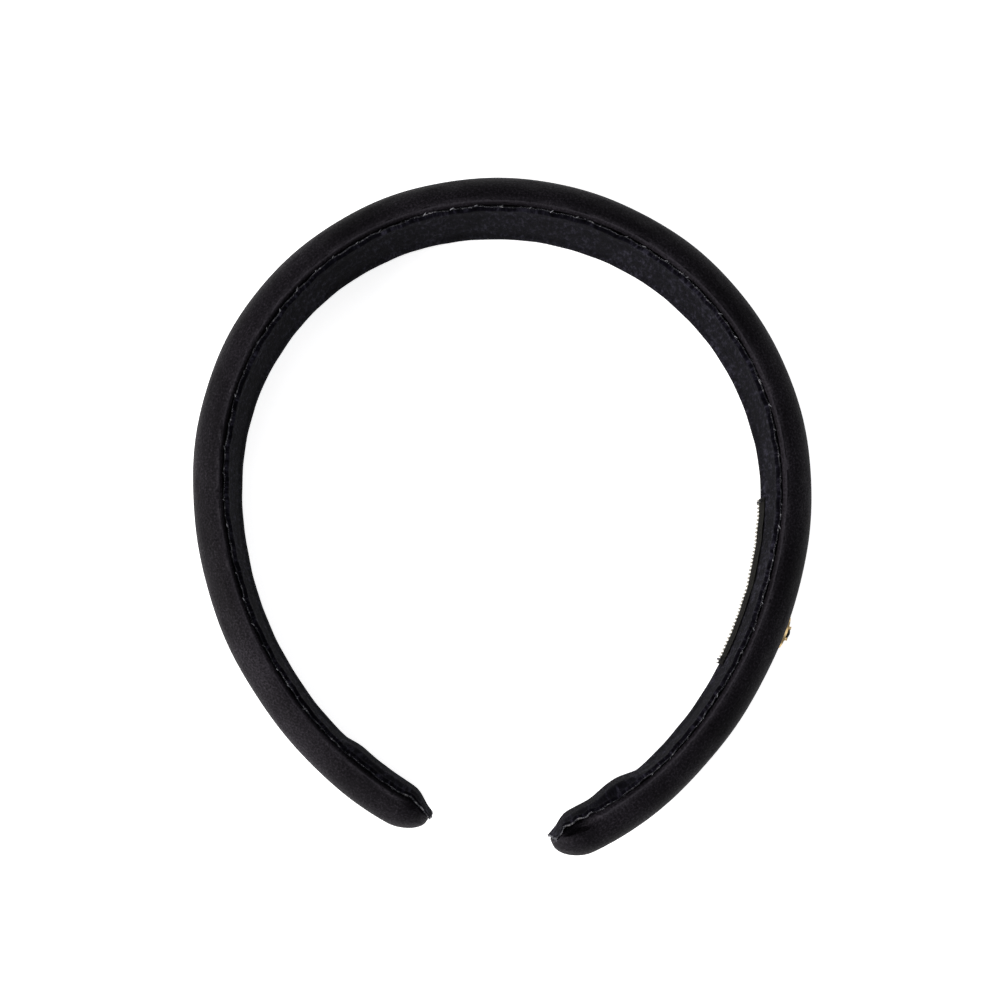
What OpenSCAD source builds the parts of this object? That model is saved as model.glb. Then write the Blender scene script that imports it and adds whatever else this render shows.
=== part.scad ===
// Padded headband lying on its edge: crown towards +Y, tips towards -Y, worn inside facing the middle.
// Every layer is swept along one path, which is the inner face of the core.

/* [Hoop] */
// Radius of the flatter stretch at the top of the crown
crown_r = 71.5; // [58:0.5:90]
// Turn of each half of the crown stretch, in degrees
crown_turn = 13; // [6:0.5:30]
// Radius of the left shoulder
left_shoulder_r = 63; // [52:0.5:76]
// Radius of the right shoulder
right_shoulder_r = 66.5; // [55:0.5:80]
// Turn of each shoulder, in degrees
shoulder_turn = 78.5; // [66:0.5:84]
// Radius of the left arm
left_arm_r = 87.5; // [72:0.5:110]
// Radius of the right arm
right_arm_r = 95.5; // [78:0.5:120]
// Turn of each arm, in degrees
arm_turn = 34.5; // [28:0.5:41]
// Radius of the left end stretch
left_end_r = 88.5; // [64:0.5:107]
// Radius of the right end stretch
right_end_r = 78; // [60:0.5:94]
// Turn of the left end stretch, in degrees
left_end_turn = 30.5; // [25:0.5:37]
// Turn of the right end stretch, in degrees
right_end_turn = 29; // [24:0.5:35]

/* [Band] */
// Width of the band at the crown
crown_w = 33; // [27:0.5:40]
// Width of the band at the tips
tip_w = 20; // [16:0.5:24]
// Height of the padded crest over the core's inner face, at the crown
crown_h = 8.4; // [7:0.1:12]
// Height of the padded crest over the core's inner face, at the tips
tip_h = 7.1; // [5.9:0.1:9]
// How late the taper sets in
taper_power = 1.2; // [1:0.05:2]
// Fullness of the padding, 2 for an ellipse
pad_power = 2.2; // [2:0.1:3]
// Length over which each tip is rounded
tip_round = 8; // [6:0.5:9.5]

/* [Core] */
// Thickness of the moulded core
core_t = 1.6; // [1.2:0.1:2.4]

/* [Satin cover] */
// Thickness of the satin with its backing
cover_t = 0.4; // [0.3:0.05:0.6]
// Width of each hem turned onto the inner face
hem_w = 5.5; // [4:0.5:7]
// Length of the folded satin under the lining at the left tip
left_fold_len = 21.5; // [17:0.5:28]
// Length of the folded satin under the lining at the right tip
right_fold_len = 20; // [16:0.5:26]
// Thickness of the folded satin
fold_t = 1.1; // [0.8:0.1:1.6]
// How far the folded satin stays in from the band's edges
fold_inset = 1.6; // [1:0.1:3]

/* [Velvet lining] */
// Thickness of the velvet ribbon
lining_t = 1.2; // [0.8:0.1:1.6]
// How far the ribbon's edges stay in from the band's edges
lining_inset = 0.7; // [0.6:0.05:1]
// Length over which the ribbon climbs onto the folded satin
lining_ramp = 5.5; // [3:0.5:7]
// How far the ribbon's raw ends run past the satin
lining_past = 1.8; // [0.5:0.1:2.5]
// Share of the ribbon's width left at its trimmed ends
lining_end_share = 0.55; // [0.4:0.05:0.7]

/* [Stitches] */
// Distance between slip stitches
stitch_pitch = 6; // [4:0.5:10]
// Length of one stitch
stitch_len = 1.6; // [1:0.1:2.5]
// Thickness of the thread
thread_d = 0.5; // [0.3:0.05:0.6]

/* [Label] */
// Length of the woven label
label_len = 43.5; // [32:0.5:52]
// Height of the woven label
label_h = 6; // [4:0.5:9]
// Thickness of the folded label
label_t = 0.5; // [0.3:0.05:0.8]
// Distance from the right tip to the label
label_from_tip = 59; // [49:0.5:71]
// Height of the label's lower edge
label_z = 1; // [0.8:0.1:3]

/* [Badge] */
// Diameter of the badge plate
badge_d = 8; // [6:0.5:10]
// Thickness of the badge plate
badge_t = 0.8; // [0.5:0.1:1.2]
// Distance from the right tip to the badge
badge_from_tip = 71.5; // [60:0.5:86]
// Diameter of the stone
stone_d = 3; // [2:0.1:3.6]
// How far the stone stands over the plate
stone_h = 1.3; // [0.8:0.1:1.8]
// Diameter of each claw
claw_d = 0.8; // [0.5:0.1:1]
// Height of each claw
claw_h = 0.9; // [0.5:0.1:1.2]
// Number of claws
claw_count = 4; // [3:1:6]
// Diameter of each leg through the satin
leg_d = 0.8; // [0.5:0.1:1]
// Distance between the two legs
leg_gap = 3.6; // [3:0.1:4]
// Diameter of the backing washer
washer_d = 6; // [5:0.5:7]
// Thickness of the backing washer
washer_t = 0.5; // [0.3:0.1:0.8]

/* [Hidden] */
$fn = 32;
LEFT = -1;
RIGHT = 1;
// Stations along each side, over which every layer is straight
SIDE_STATIONS = 30;
// Angles at which the rounded tip has a station
TIP_ANGLES = [0, 15, 30, 45, 60, 72, 80];
CORE_TIP_ANGLES = 4;
FOAM_TIP_ANGLES = 6;
// Step between points round the padded crown of a section
PAD_STEP = 15;
// Clearance between metal and cloth, and round the legs
fit_gap = 0.05;
leg_clearance = 0.1;
bend_t = 0.3;
bend_len = 1.2;
// How far the washer sits under the satin, where the padding falls away from its middle
washer_drop = 0.3;
label_stitch_in = 1;

// Shape of each side, as arcs from the crown to the tip: radius and turn
function side_arcs(side) = [
    [crown_r, crown_turn],
    [side == LEFT ? left_shoulder_r : right_shoulder_r, shoulder_turn],
    [side == LEFT ? left_arm_r : right_arm_r, arm_turn],
    [side == LEFT ? left_end_r : right_end_r, side == LEFT ? left_end_turn : right_end_turn]];
function arc_len(arc) = arc[0] * arc[1] * PI / 180;
function total_len(arcs, i = 0) = i == len(arcs) ? 0 : arc_len(arcs[i]) + total_len(arcs, i + 1);
function side_len(side) = total_len(side_arcs(side));
function outward(turned) = [sin(turned), cos(turned)];

// Point of the path and angle turned, at a length along the arcs
function walk(arcs, s, i = 0, from = [0, 0], turned = 0) =
    let (r = arcs[i][0])
    s <= arc_len(arcs[i]) || i == len(arcs) - 1
        ? let (now = turned + s / r * 180 / PI) [from + r * (outward(now) - outward(turned)), now]
        : let (next = turned + arcs[i][1])
            walk(arcs, s - arc_len(arcs[i]), i + 1, from + r * (outward(next) - outward(turned)), next);

// Point at length s along a side, n outside the path, on the straight run between two stations
function station_step(side) = side_len(side) / SIDE_STATIONS;
function corner(side, k, n) =
    let (at = walk(side_arcs(side), k * station_step(side)))
    at[0] + n * outward(at[1]);
function on_side(side, s, n) =
    let (k = floor(s / station_step(side)), t = s / station_step(side) - k)
    corner(side, k, n) * (1 - t) + corner(side, k + 1, n) * t;
function facet_turn(side, s) = let (k = floor(s / station_step(side)))
    (walk(side_arcs(side), k * station_step(side))[1]
        + walk(side_arcs(side), (k + 1) * station_step(side))[1]) / 2;

// Sizes of the band at length s: the taper, the rounding of the tip, width and crest height
function tapered(side, s, crown, tip) =
    tip + (crown - tip) * (1 - pow(min(1, s / side_len(side)), taper_power));
function past_tip_start(side, s) = max(0, s - side_len(side) + tip_round);
function rounding(side, s) = sqrt(max(0, 1 - pow(past_tip_start(side, s) / tip_round, 2)));
function flat_width(side, s) = tapered(side, s, crown_w, tip_w);
function middle(side, s) = flat_width(side, s) / 2;
function width(side, s) = flat_width(side, s) * rounding(side, s);
function crest(side, s) = core_t + (tapered(side, s, crown_h, tip_h) - core_t) * rounding(side, s);

// Where the lining starts and ends its climb onto the folded satin, which thins out round the tip
function fold_len(side) = side == LEFT ? left_fold_len : right_fold_len;
function fold_start(side) = side_len(side) - fold_len(side);
function climb(side, s) =
    fold_t * min(1, max(0, (s - fold_start(side) + lining_ramp) / lining_ramp)) * rounding(side, s);
function lining_face(side, s) = cover_t + climb(side, s) + lining_t;

// Stations of a side: the even ones up to the tip, the ends of the climb, and those of the rounded tip
function even_stations(side) = [for (k = [0 : SIDE_STATIONS]) if (k * station_step(side)
    < side_len(side) - tip_round) k * station_step(side)];
function climb_stations(side) = [fold_start(side) - lining_ramp, fold_start(side)];
function tip_stations(side, count) = [for (i = [0 : count - 1]) side_len(side) - tip_round
    + tip_round * sin(TIP_ANGLES[i])];
function sorted(v) = len(v) < 2 ? v : let (p = v[floor(len(v) / 2)]) concat(
    sorted([for (x = v) if (x < p) x]), [p], sorted([for (x = v) if (x > p) x]));
function stations(side, tip_count) =
    sorted(concat(even_stations(side), climb_stations(side), tip_stations(side, tip_count)));
// The whole hoop from the left tip to the right tip, as [side, s]
function hoop_stations(left, right) = concat(
    [for (i = [len(left) - 1 : -1 : 1]) [LEFT, left[i]]], [for (s = right) [RIGHT, s]]);

all_stations = hoop_stations(stations(LEFT, len(TIP_ANGLES)), stations(RIGHT, len(TIP_ANGLES)));
core_stations = hoop_stations(stations(LEFT, CORE_TIP_ANGLES), stations(RIGHT, CORE_TIP_ANGLES));
foam_stations = hoop_stations(stations(LEFT, FOAM_TIP_ANGLES), stations(RIGHT, FOAM_TIP_ANGLES));

// The box of the hoop in plan, which places its middle on the origin
crest_points = [for (at = all_stations)
    let (p = on_side(at[0], at[1], crest(at[0], at[1]))) [at[0] * p[0], p[1]]];
crest_x = [for (p = crest_points) p[0]];
crest_y = [for (p = crest_points) p[1]];
plan_middle = [(max(crest_x) + min(crest_x)) / 2, (max(crest_y) + min(crest_y)) / 2];
function plan(side, s, n) = let (p = on_side(side, s, n)) [side * p[0], p[1]] - plan_middle;

// One end of a swept body, as a strip between the two halves of its outline
function end_face(m, first, flip) =
    [for (i = [0 : ceil(m / 2) - 2]) let (j = m - 1 - i, pair = [[i, i + 1, j], [i + 1, j - 1, j]])
        each [for (t = pair) if (t[0] != t[1])
            [for (k = t) first + (flip ? k : m - 1 - k)]]];

// A closed body through sections that all have the same number of points. Points from turned_from on run
// the other way round, as a shell's inner side does, and split their quads so as to match the body inside.
module sweep(sections, turned_from = undef) {
    m = len(sections[0]);
    last = len(sections) - 1;
    polyhedron(
        points = [for (section = sections) for (p = section) p],
        faces = concat(
            end_face(m, 0, false),
            [for (i = [0 : last - 1]) for (j = [0 : m - 1])
                let (k = (j + 1) % m, here = i * m, next = here + m)
                each is_undef(turned_from) || j < turned_from
                    ? [[here + j, here + k, next + k], [here + j, next + k, next + j]]
                    : [[here + j, here + k, next + j], [here + k, next + k, next + j]]],
            end_face(m, last * m, true)));
}

// Points of one section, from [n, z] pairs
function section(at, pairs) = [for (q = pairs) let (p = plan(at[0], at[1], q[0])) [p[0], p[1], q[1]]];
function box_pairs(n0, n1, z0, z1) = [[n0, z0], [n0, z1], [n1, z1], [n1, z0]];
// Rounded crown of the padding, inset by the cloth, from the upper edge to the lower one
function pad_pairs(side, s, inset) =
    let (half = width(side, s) / 2 - inset, rise = crest(side, s) - inset - core_t, p = 2 / pad_power)
    [for (a = [0 : PAD_STEP : 180])
        [core_t + rise * pow(abs(sin(a)), p), middle(side, s) + half * sign(cos(a)) * pow(abs(cos(a)), p)]];
function hem(side, s) = min(hem_w, width(side, s) / 2 - fit_gap);
function upper_edge(side, s) = middle(side, s) + width(side, s) / 2;
function lower_edge(side, s) = middle(side, s) - width(side, s) / 2;
function cover_pairs(side, s) =
    let (top = upper_edge(side, s), low = lower_edge(side, s), h = hem(side, s))
    concat(
        [[-cover_t, top - h], [-cover_t, top]],
        pad_pairs(side, s, 0),
        [[-cover_t, low], [-cover_t, low + h]],
        [[0, low + h], [0, low + cover_t]],
        let (pad = pad_pairs(side, s, cover_t)) [for (i = [len(pad) - 1 : -1 : 0]) pad[i]],
        [[0, top - cover_t], [0, top - h]]);

// Frame at length s, n outside the path and at height z: X along the band, Y up and Z outward
module place(side, s, n, z) {
    p = plan(side, s, n);
    translate([p[0], p[1], z]) rotate([0, 0, -side * facet_turn(side, s)]) rotate([-90, 0, 0])
        rotate([0, 0, 180]) children();
}

badge_s = side_len(RIGHT) - badge_from_tip;
badge_n = crest(RIGHT, badge_s);
badge_z = middle(RIGHT, badge_s);
washer_n = badge_n - cover_t - washer_drop - washer_t;

module core_band() {
    color("gainsboro")
        sweep([for (at = core_stations) section(at, box_pairs(0, core_t, lower_edge(at[0], at[1]) + cover_t,
                upper_edge(at[0], at[1]) - cover_t))]);
}

module foam_pad() {
    pocket_n = washer_n - bend_t - fit_gap;
    color("lightyellow")
        difference() {
            sweep([for (at = foam_stations) section(at, pad_pairs(at[0], at[1], cover_t))]);
            place(RIGHT, badge_s, pocket_n, badge_z)
                cylinder(d = washer_d + 2 * leg_clearance, h = badge_n - pocket_n);
        }
}

module satin_fold(side) {
    inner = [for (s = stations(side, FOAM_TIP_ANGLES)) if (s >= fold_start(side)) s];
    points = side == LEFT ? [for (i = [len(inner) - 1 : -1 : 0]) inner[i]] : inner;
    sweep([for (s = points)
        let (inset = min(fold_inset, width(side, s) / 4))
        section([side, s], box_pairs(-cover_t - climb(side, s), -cover_t, lower_edge(side, s) + inset,
            upper_edge(side, s) - inset))]);
}

module satin_cover() {
    color("dimgray") {
        difference() {
            sweep([for (at = all_stations) section(at, cover_pairs(at[0], at[1]))],
                turned_from = len(cover_pairs(RIGHT, 0)) / 2);
            badge_legs(leg_d + 2 * leg_clearance);
        }
        satin_fold(LEFT);
        satin_fold(RIGHT);
    }
}

// The ribbon keeps its width to the rounded tip and is trimmed there
function ribbon_share(side, s) =
    let (reach = (tip_round + lining_past) / sqrt(1 - pow(lining_end_share, 2)))
    sqrt(1 - pow(past_tip_start(side, s) / reach, 2));
function ribbon_half(side, s) = (flat_width(side, s) / 2 - lining_inset) * ribbon_share(side, s);
function ribbon_stations(side) = concat(stations(side, len(TIP_ANGLES)), [side_len(side) + lining_past]);

module velvet_lining() {
    color("midnightblue")
        sweep([for (at = hoop_stations(ribbon_stations(LEFT), ribbon_stations(RIGHT)))
            let (face = lining_face(at[0], at[1]),
                mid = middle(at[0], at[1]), half = ribbon_half(at[0], at[1]))
            section(at, box_pairs(-face, lining_t - face, mid - half, mid + half))]);
}

// Slip stitches lie in the notch between the ribbon's edge and the hem
module edge_stitches(above) {
    notch = thread_d / 2 + fit_gap;
    for (side = [LEFT, RIGHT])
        for (s = [stitch_pitch / 2 : stitch_pitch : fold_start(side) - lining_ramp - stitch_len])
            let (slope = -side * atan(flat_width(side, s + 1) - flat_width(side, s)),
                edge = above ? flat_width(side, s) - lining_inset + notch : lining_inset - notch)
            place(side, s, -cover_t - notch, edge)
                rotate([0, 0, above ? slope : 0]) rotate([0, 90, 0])
                    cylinder(d = thread_d, h = stitch_len, center = true);
}

module upper_edge_stitches() {
    color("slategray") edge_stitches(true);
}

module lower_edge_stitches() {
    color("slategray") edge_stitches(false);
}

label_end = side_len(RIGHT) - label_from_tip;
label_start = label_end - label_len;
label_face = lining_face(RIGHT, label_end) + label_t;

module woven_label() {
    between = [for (s = even_stations(RIGHT)) if (s > label_start + 1 && s < label_end - 1) s];
    color("white")
        sweep([for (s = concat([label_start], between, [label_end]))
            section([RIGHT, s], box_pairs(-label_face, label_t - label_face, label_z, label_z + label_h))]);
}

// One bar of thread across each end of the label
module label_stitches() {
    color("black")
        for (s = [label_start + label_stitch_in, label_end - label_stitch_in])
            place(RIGHT, s, -label_face - thread_d / 2, label_z + label_h / 2)
                rotate([90, 0, 0]) cylinder(d = thread_d, h = label_h - thread_d, center = true);
}

// The badge's own frame: its back is at Z 0 on the satin
module at_badge() {
    place(RIGHT, badge_s, badge_n + fit_gap, badge_z) children();
}

module badge_legs(d) {
    leg_len = badge_n + fit_gap - washer_n;
    at_badge()
        for (x = [-leg_gap / 2, leg_gap / 2])
            translate([x, 0, -leg_len]) cylinder(d = d, h = leg_len);
}

// Plate, claws round the stone, and two legs bent inward under the washer
module emblem_base() {
    leg_len = badge_n + fit_gap - washer_n;
    claw_r = (stone_d + claw_d) / 2 + fit_gap;
    color("gold") {
        union() {
            at_badge() {
                difference() {
                    cylinder(d = badge_d, h = badge_t);
                    translate([0, 0, badge_t / 2]) cylinder(d = stone_d, h = badge_t);
                }
                for (k = [0 : claw_count - 1])
                    rotate([0, 0, (k + 0.5) * 360 / claw_count]) translate([claw_r, 0, badge_t / 2])
                        cylinder(d = claw_d, h = badge_t / 2 + claw_h);
                for (x = [-1, 1])
                    translate([x * (leg_gap / 2 - (bend_len - leg_d) / 2) - bend_len / 2, -leg_d / 2,
                        -leg_len - bend_t])
                        cube([bend_len, leg_d, bend_t]);
            }
            badge_legs(leg_d);
        }
    }
}

module emblem_stone() {
    dome_h = stone_h / 2;
    dome_r = (pow(stone_d / 2, 2) + pow(dome_h, 2)) / (2 * dome_h);
    color("black")
        at_badge() translate([0, 0, badge_t / 2])
            rotate_extrude()
                union() {
                    square([stone_d / 2, badge_t / 2 + stone_h - dome_h]);
                    intersection() {
                        translate([0, badge_t / 2 + stone_h - dome_r]) circle(r = dome_r);
                        square([stone_d / 2, badge_t / 2 + stone_h]);
                    }
                }
}

module emblem_washer() {
    color("silver")
        place(RIGHT, badge_s, washer_n, badge_z)
            difference() {
                cylinder(d = washer_d, h = washer_t);
                for (x = [-leg_gap / 2, leg_gap / 2])
                    translate([x, 0, -washer_t]) cylinder(d = leg_d + 2 * leg_clearance, h = 3 * washer_t);
            }
}

core_band();
foam_pad();
satin_cover();
velvet_lining();
upper_edge_stitches();
lower_edge_stitches();
woven_label();
label_stitches();
emblem_base();
emblem_stone();
emblem_washer();
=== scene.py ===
"""Padded satin headband lying on its edge, on a white table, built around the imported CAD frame.

Lengths are metres. s runs along the hoop from the left tip, round the crown, to the right tip; n is the
distance outward from the core's inner face; z is the height over the table.
"""
import math

import bpy
import numpy as np
from mathutils import Euler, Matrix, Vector


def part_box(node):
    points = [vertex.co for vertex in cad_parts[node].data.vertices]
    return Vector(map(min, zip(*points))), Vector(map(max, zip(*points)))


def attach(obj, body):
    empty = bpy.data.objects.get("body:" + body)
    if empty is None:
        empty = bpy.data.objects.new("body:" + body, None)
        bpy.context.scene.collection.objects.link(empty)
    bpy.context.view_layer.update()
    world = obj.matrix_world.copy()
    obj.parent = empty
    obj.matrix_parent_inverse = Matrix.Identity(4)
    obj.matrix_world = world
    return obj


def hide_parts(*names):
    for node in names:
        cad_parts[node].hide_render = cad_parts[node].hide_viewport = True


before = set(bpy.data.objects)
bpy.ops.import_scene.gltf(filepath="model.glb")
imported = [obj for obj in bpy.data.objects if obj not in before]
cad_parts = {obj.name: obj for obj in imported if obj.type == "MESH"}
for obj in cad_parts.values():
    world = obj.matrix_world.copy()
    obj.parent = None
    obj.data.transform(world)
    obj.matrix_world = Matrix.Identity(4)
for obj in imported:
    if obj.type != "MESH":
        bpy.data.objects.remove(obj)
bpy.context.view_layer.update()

MM = 0.001
BODY = "root"

# Camera: place over the table, turn in degrees, lens and sensor in millimetres
CAMERA_PLACE = (-1.5 * MM, -29.3 * MM, 423.9 * MM)
CAMERA_TURN = (4.451, -0.457, 3.678)
CAMERA_LENS = 61.23
CAMERA_SENSOR = 36
CAMERA_CLIP = (0.01, 20)

# Light: the world, and two area lights by name, place, size, power in watts and colour
WORLD_COLOUR = (0.95, 0.96, 1.0, 1)
WORLD_STRENGTH = 0.3
LIGHTS = (("key", (-0.95, -0.5, 0.5), (0.7, 0.5), 26, (1.0, 0.98, 0.97)),
          ("top", (0.1, 0.15, 1.3), (1.2, 1.2), 6, (1.0, 1.0, 1.0)))
FLOOR_SIZE = 12.0
FLOOR_DROP = 0.05 * MM

# Satin: its thickness, the width turned under at each edge, the turned edge's radius, the length over which
# each tip is rounded, and the power of the superellipse that the padding follows
CLOTH = 0.4 * MM
HEM = 5.5 * MM
ROLL = 0.9 * MM
TIP_ROUND = 8 * MM
PAD_POWER = 2.2
# How far the satin swells over the height that the CAD gives it, and how much more at each tip: the height,
# where that begins from the tip, and over what length it grows
PROUD = 0.3 * MM
FULLER_LEFT = (0.3 * MM, 40 * MM, 30 * MM)
FULLER_RIGHT = (0.65 * MM, 45 * MM, 35 * MM)
# The gathered satin stands past the core's ends by this much, and there the ribbon is pressed outward
OVERHANG = 1.8 * MM
PRESSED = 1.9 * MM
PRESS_LENGTH = 6 * MM
# The folded ends of the satin, as ridges under the ribbon: height, middle from the tip and half length
RIDGE_LEFT = (0.25 * MM, 23 * MM, 6 * MM)
RIDGE_RIGHT = (0.9 * MM, 20 * MM, 8 * MM)
# The gap left open at the upper edge beside each tip: depth, middle from the tip and half length
GAP_LEFT = (1.0 * MM, 4.6 * MM, 3.2 * MM)
GAP_RIGHT = (5.0 * MM, 7.4 * MM, 5.8 * MM)
# How much wider and longer the satin is cut than its surface: caught under the ribbon, and folded at the tips
CUT_WIDER = 4 * MM
CUT_LONGER = 24 * MM

# Rings along the hoop; points of the satin's outline from the hem's end over the turned edge, from there up
# to the padding, and over the padding
RING_STEP = 0.8 * MM
TIP_RINGS = 21
EDGE_POINTS = 16
WALL_POINTS = 8
CROWN_POINTS = 49

# Cloth simulation of the crown: scale at which it runs, frames, and the furthest that a point may move
SIM_SCALE = 10
SIM_FRAMES = 20
SIM_CAP = 0.45 * MM
SIM_QUALITY = 6
SIM_STIFFNESS = 20
SIM_BENDING = 0.1
SIM_PRESSURE = 4
# Share by which the cloth is cut too long along the band and at the tips
SIM_SLACK = (0.003, 0.03)

# Ribbon: its ground's thickness, the radius of the pile's shoulders, the share of the way from round to
# square at which its ends are cut, and the slant of the right one
BACKING = 0.3 * MM
SHOULDER = 0.9 * MM
SQUARED = 0.55
SLANT = 1.6 * MM
# Points up the ribbon's outer side, round each shoulder and down its inner side
BACK_POINTS = 13
SHOULDER_POINTS = 7
FACE_POINTS = 21
# Loose fibres along the upper edge, along the lower one and at each end, and their thickness
FRAY_UPPER = 3600
FRAY_LOWER = 2200
FRAY_END = 420
FIBRE = 0.028 * MM

# Label: thickness, rings along it, spacing of the loops along its folded edge, and how far they stand out
LABEL_T = 0.22 * MM
LABEL_RINGS = 420
LOOP_PITCH = 1.0 * MM
LOOP_OUT = 0.55 * MM

# Seeds of everything that is drawn at random
SEEDS = {"lumps": 3, "low edge": 11, "top edge": 12, "face": 14, "slit": 15, "fray": 21,
         "upper stitches": 31, "lower stitches": 32, "label": 41}

# Turn about the middle over which the core's inner and outer corners are told apart
NEAR_TURN = 0.25
# Corners added past each end of the core, so that the path reaches past the tips
CARRIED_ON = 5
# Points of the fine line on which the frame's sizes are smoothed
GRID_POINTS = 4000


# --- The hoop, read from the frame ----------------------------------------------------------------

def node_points(name):
    """The node's vertices, each once."""
    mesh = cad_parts[name].data
    flat = np.empty(3 * len(mesh.vertices), np.float32)
    mesh.vertices.foreach_get("co", flat)
    return np.unique(flat.reshape(-1, 3).astype(float).round(6), axis=0)


def straightened(points, tolerance):
    """The points that a polyline needs to stay within the tolerance of all of them."""
    first, last = points[0], points[-1]
    way = (last - first) / np.linalg.norm(last - first)
    off = np.abs((points - first) @ np.array([-way[1], way[0]]))
    k = int(off.argmax())
    if off[k] < tolerance:
        return [first, last]
    return straightened(points[:k + 1], tolerance)[:-1] + straightened(points[k:], tolerance)


def core_corners():
    """Where the core's inner face turns, in plan, from the left tip to the right one."""
    plan = np.unique(node_points("core_band")[:, :2], axis=0)
    turn = np.arctan2(plan[:, 0], plan[:, 1])
    reach = np.hypot(plan[:, 0], plan[:, 1])
    inner = []
    for t, r in zip(turn, reach):
        near = np.abs(turn - t) < NEAR_TURN
        middle = np.polyval(np.polyfit(turn[near] - t, reach[near], 2), 0)
        inner.append(r < middle)
    ordered = plan[inner][np.argsort(turn[inner])]
    crown = int(np.abs(ordered[:, 0]).argmin())
    left = straightened(ordered[:crown + 1], 0.03 * MM)
    right = straightened(ordered[crown:], 0.03 * MM)
    corners = np.array(left + right[1:])
    clear = [np.linalg.norm(corners - end, axis=1) > TIP_ROUND for end in corners[[0, -1]]]
    return corners[clear[0] & clear[1]]


def carried_on(corners, count):
    """More corners past the last one, on the same circle."""
    a, b, c = corners[-3:]
    u, v = b - a, c - b
    turn = math.atan2(u[0] * v[1] - u[1] * v[0], u @ v)
    cos, sin = math.cos(turn), math.sin(turn)
    more = []
    for _ in range(count):
        v = np.array([v[0] * cos - v[1] * sin, v[0] * sin + v[1] * cos])
        c = c + v
        more.append(c)
    return more


def smooth_path(corners, per_span=24):
    """A Catmull-Rom curve through the corners, as points."""
    before = carried_on(corners[::-1], CARRIED_ON)[::-1]
    p = np.array(before + list(corners) + carried_on(corners, CARRIED_ON))
    t = (np.arange(per_span) / per_span)[None, :, None]
    a, b, c, d = (p[i:len(p) - 3 + i, None, :] for i in range(4))
    curve = 0.5 * (2 * b + (c - a) * t + (2 * a - 5 * b + 4 * c - d) * t**2 + (3 * b - a - 3 * c + d) * t**3)
    return curve.reshape(-1, 2)


PATH = smooth_path(core_corners())
PATH_S = np.concatenate([[0], np.cumsum(np.linalg.norm(np.diff(PATH, axis=0), axis=1))])
TANGENT = np.gradient(PATH, PATH_S, axis=0)
TANGENT /= np.linalg.norm(TANGENT, axis=1)[:, None]
OUTWARD = np.column_stack([-TANGENT[:, 1], TANGENT[:, 0]])


def places(s, n, z):
    """Points of space from s, n and z, which broadcast."""
    s, n, z = np.broadcast_arrays(s, n, z)
    x = np.interp(s, PATH_S, PATH[:, 0]) + n * np.interp(s, PATH_S, OUTWARD[:, 0])
    y = np.interp(s, PATH_S, PATH[:, 1]) + n * np.interp(s, PATH_S, OUTWARD[:, 1])
    return np.stack([x, y, z], -1)


def along(points):
    """s and n of points of space."""
    off = points[:, None, :2] - PATH[None]
    k = (off**2).sum(-1).argmin(1)
    rest = points[:, :2] - PATH[k]
    return PATH_S[k] + (rest * TANGENT[k]).sum(1), (rest * OUTWARD[k]).sum(1)


def sections(name, fewest):
    """Rows of s, lowest n, highest n, lowest z and highest z, one for each section of a swept node."""
    points = node_points(name)
    s, n = along(points)
    z = points[:, 2]
    order = np.argsort(s)
    groups = np.split(order, np.flatnonzero(np.diff(s[order]) > 0.12 * MM) + 1)
    return np.array([(s[g].mean(), n[g].min(), n[g].max(), z[g].min(), z[g].max())
                     for g in groups if len(g) >= fewest])


def softened(values, spread):
    """Values on the fine line GRID, smoothed over that distance."""
    step = GRID[1] - GRID[0]
    reach = int(4 * spread / step)
    kernel = np.exp(-0.5 * (np.arange(-reach, reach + 1) * step / spread)**2)
    return np.convolve(np.pad(values, reach, "edge"), kernel / kernel.sum(), "valid")


COVER = sections("satin_cover", 24)
COVER = COVER[COVER[:, 1] < 0]
LINING = sections("velvet_lining", 4)
COVER_S = along(node_points("satin_cover"))[0]
LEFT_TIP, RIGHT_TIP = COVER_S.min() - OVERHANG, COVER_S.max() + OVERHANG
FLAT = COVER[(COVER[:, 0] > LEFT_TIP + TIP_ROUND) & (COVER[:, 0] < RIGHT_TIP - TIP_ROUND)]
CORE_T = sections("core_band", 4)[:, 2].max()
LINING_T = np.median(LINING[:, 2] - LINING[:, 1])
GRID = np.linspace(LEFT_TIP - 5 * MM, RIGHT_TIP + 5 * MM, GRID_POINTS)
WIDTHS = softened(np.interp(GRID, FLAT[:, 0], FLAT[:, 4] - FLAT[:, 3]), 6 * MM)
CRESTS = softened(np.interp(GRID, FLAT[:, 0], FLAT[:, 2]), 6 * MM)
LINING_FACES = softened(np.interp(GRID, LINING[:, 0], LINING[:, 1]), 1.5 * MM)
LINING_LOW = softened(np.interp(GRID, LINING[:, 0], LINING[:, 3]), 1.0 * MM)
LINING_TOP = softened(np.interp(GRID, LINING[:, 0], LINING[:, 4]), 1.0 * MM)


def width(s):
    return np.interp(s, GRID, WIDTHS)


def crest(s):
    """Height of the padding's crown over the core's inner face: fuller near the tips, the right one most."""
    left, left_from, left_over = FULLER_LEFT
    right, right_from, right_over = FULLER_RIGHT
    near_left = step(LEFT_TIP + left_from - s, 0, left_over)
    near_right = step(s - RIGHT_TIP + right_from, 0, right_over)
    return np.interp(s, GRID, CRESTS) + PROUD + left * near_left + right * near_right


def pressed(s):
    """How far the last stretch at each tip bends outward."""
    return PRESSED * np.clip(1 - from_tip(s) / PRESS_LENGTH, 0, 1.02)**1.6


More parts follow.
